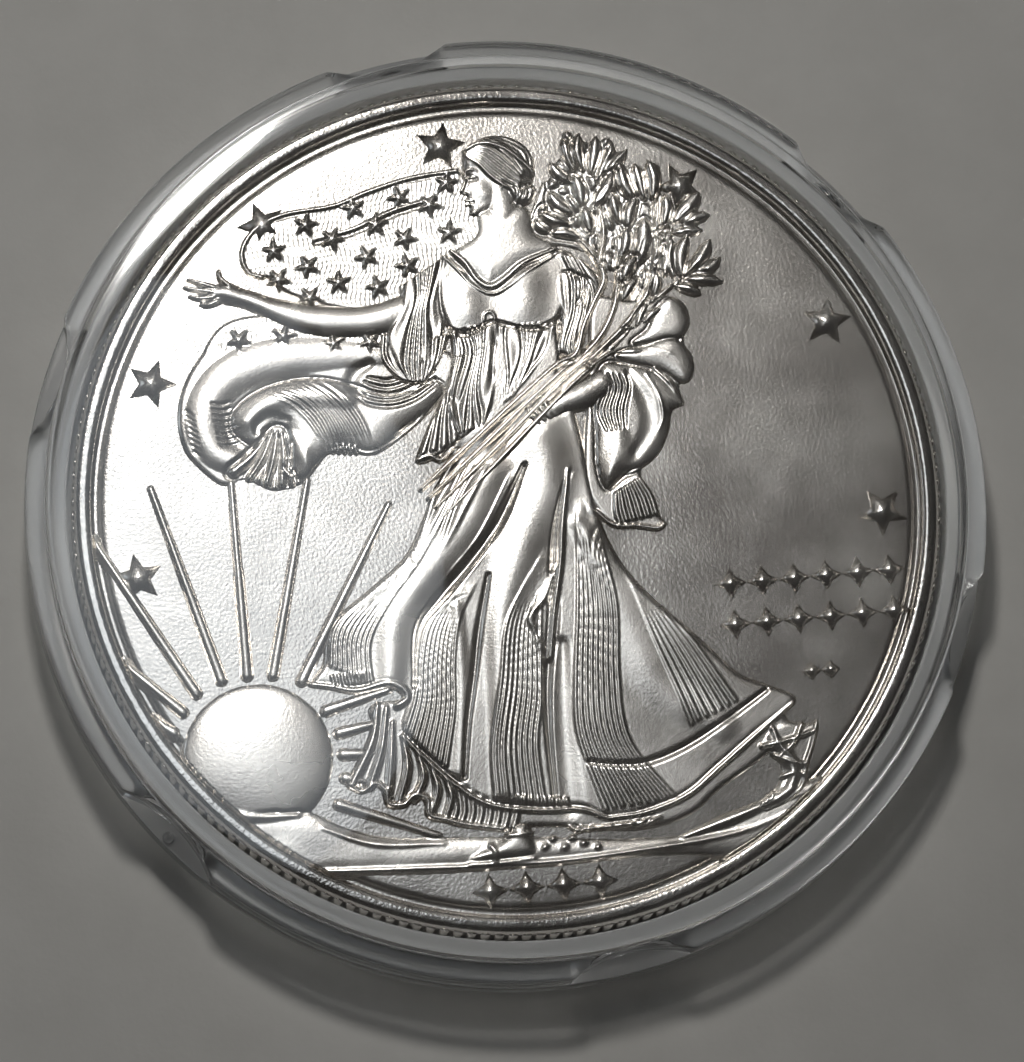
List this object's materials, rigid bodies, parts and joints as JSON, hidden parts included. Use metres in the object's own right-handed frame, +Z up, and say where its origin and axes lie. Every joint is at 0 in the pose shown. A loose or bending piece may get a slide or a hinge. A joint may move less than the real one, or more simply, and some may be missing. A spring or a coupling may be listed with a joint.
{
  "type": "coin capsule",
  "caption": "Round clear two-part coin capsule: flanged base with a seating ring and a push-on lid with pry scallops, holding a reeded silver coin with relief.",
  "frame": {"origin": "centre of the base's flat underside", "axes": "+Z up through the window, +Y towards the top of the coin's design"},
  "size_m": [0.045, 0.045, 0.006],
  "materials": {
    "acrylic": "clear polished acrylic",
    "silver": "struck silver, satin field and brighter relief"
  },
  "bodies": {
    "base": {"capsule_base": "acrylic"},
    "lid": {"capsule_lid": "acrylic"},
    "coin": {"coin": "silver"}
  },
  "joints": [
    {"name": "lid_lift", "type": "slide", "parent": "base", "child": "lid", "axis": [0, 0, 1], "range_m": [0, 0.04]},
    {"name": "coin_lift", "type": "slide", "parent": "base", "child": "coin", "axis": [0, 0, 1], "range_m": [0, 0.018]}
  ],
  "couplings": [
    {"joint": "coin_lift", "follows": "lid_lift", "ratio": 0.45}
  ]
}
